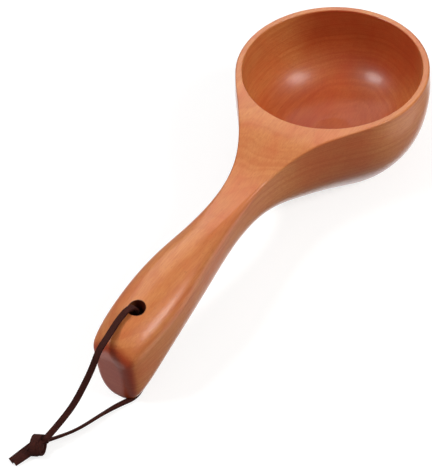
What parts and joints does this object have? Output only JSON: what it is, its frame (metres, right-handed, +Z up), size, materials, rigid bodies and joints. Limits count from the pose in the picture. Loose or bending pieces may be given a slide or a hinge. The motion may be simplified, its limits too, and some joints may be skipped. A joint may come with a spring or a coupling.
{
  "type": "wooden ladle",
  "caption": "Deep round wooden ladle with a slim neck, full grip, hole near the tail and knotted flat lace loop",
  "frame": {"origin": "on the table, on the axis of the bowl, at the middle of its sanded foot", "axes": "+Z up out of the bowl, +X along the handle to its tail, +Y to the left of the handle"},
  "size_m": [0.3025, 0.1008, 0.05],
  "materials": {
    "lacquered_wood": "fine straight grain under a clear semi-gloss lacquer",
    "suede": "flat cut suede lace, matt nap"
  },
  "bodies": {
    "root": {"ladle": "lacquered_wood", "lace_loop": "suede", "lace_knot": "suede", "lace_tail_long": "suede", "lace_tail_short": "suede"}
  },
  "joints": []
}
